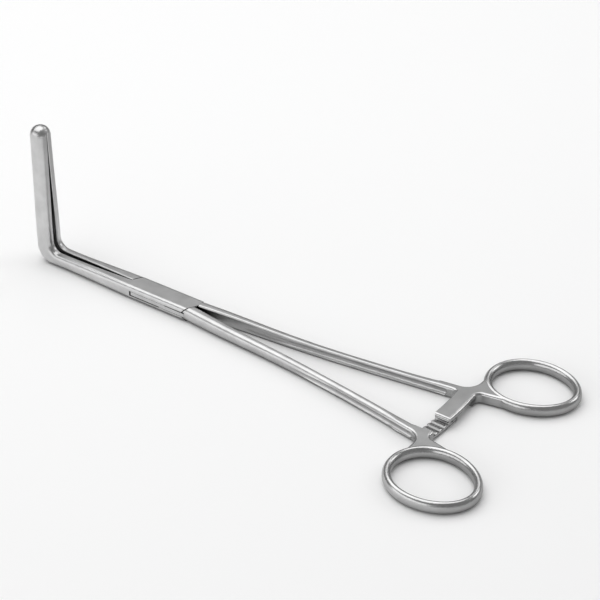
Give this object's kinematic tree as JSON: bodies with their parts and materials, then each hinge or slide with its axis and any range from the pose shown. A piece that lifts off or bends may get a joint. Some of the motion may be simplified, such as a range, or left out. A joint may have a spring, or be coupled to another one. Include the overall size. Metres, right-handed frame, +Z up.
{
  "type": "clamp forceps",
  "caption": "Right-angled clamp forceps: slim jaws bent up square, a flat box lock, fluted shanks, oval finger rings and a ratchet that holds the jaws closed.",
  "frame": {"origin": "on the rest plane, straight below the pivot at the middle of the box lock", "axes": "+X from the pivot to the finger rings, +Z up and along the pivot, the jaws rise at the -X end"},
  "size_m": [0.2256, 0.0968, 0.0595],
  "materials": {
    "satin_steel": "satin with polished edges",
    "pin_steel": "satin"
  },
  "bodies": {
    "box_body": {"box_half": "satin_steel", "pivot_pin": "pin_steel"},
    "tongue_body": {"tongue_half": "satin_steel"}
  },
  "joints": [
    {"name": "pivot", "type": "hinge", "parent": "box_body", "child": "tongue_body", "pos_m": [0, 0, 0.00285], "axis": [0, 0, -1], "range_deg": [0, 45]}
  ]
}
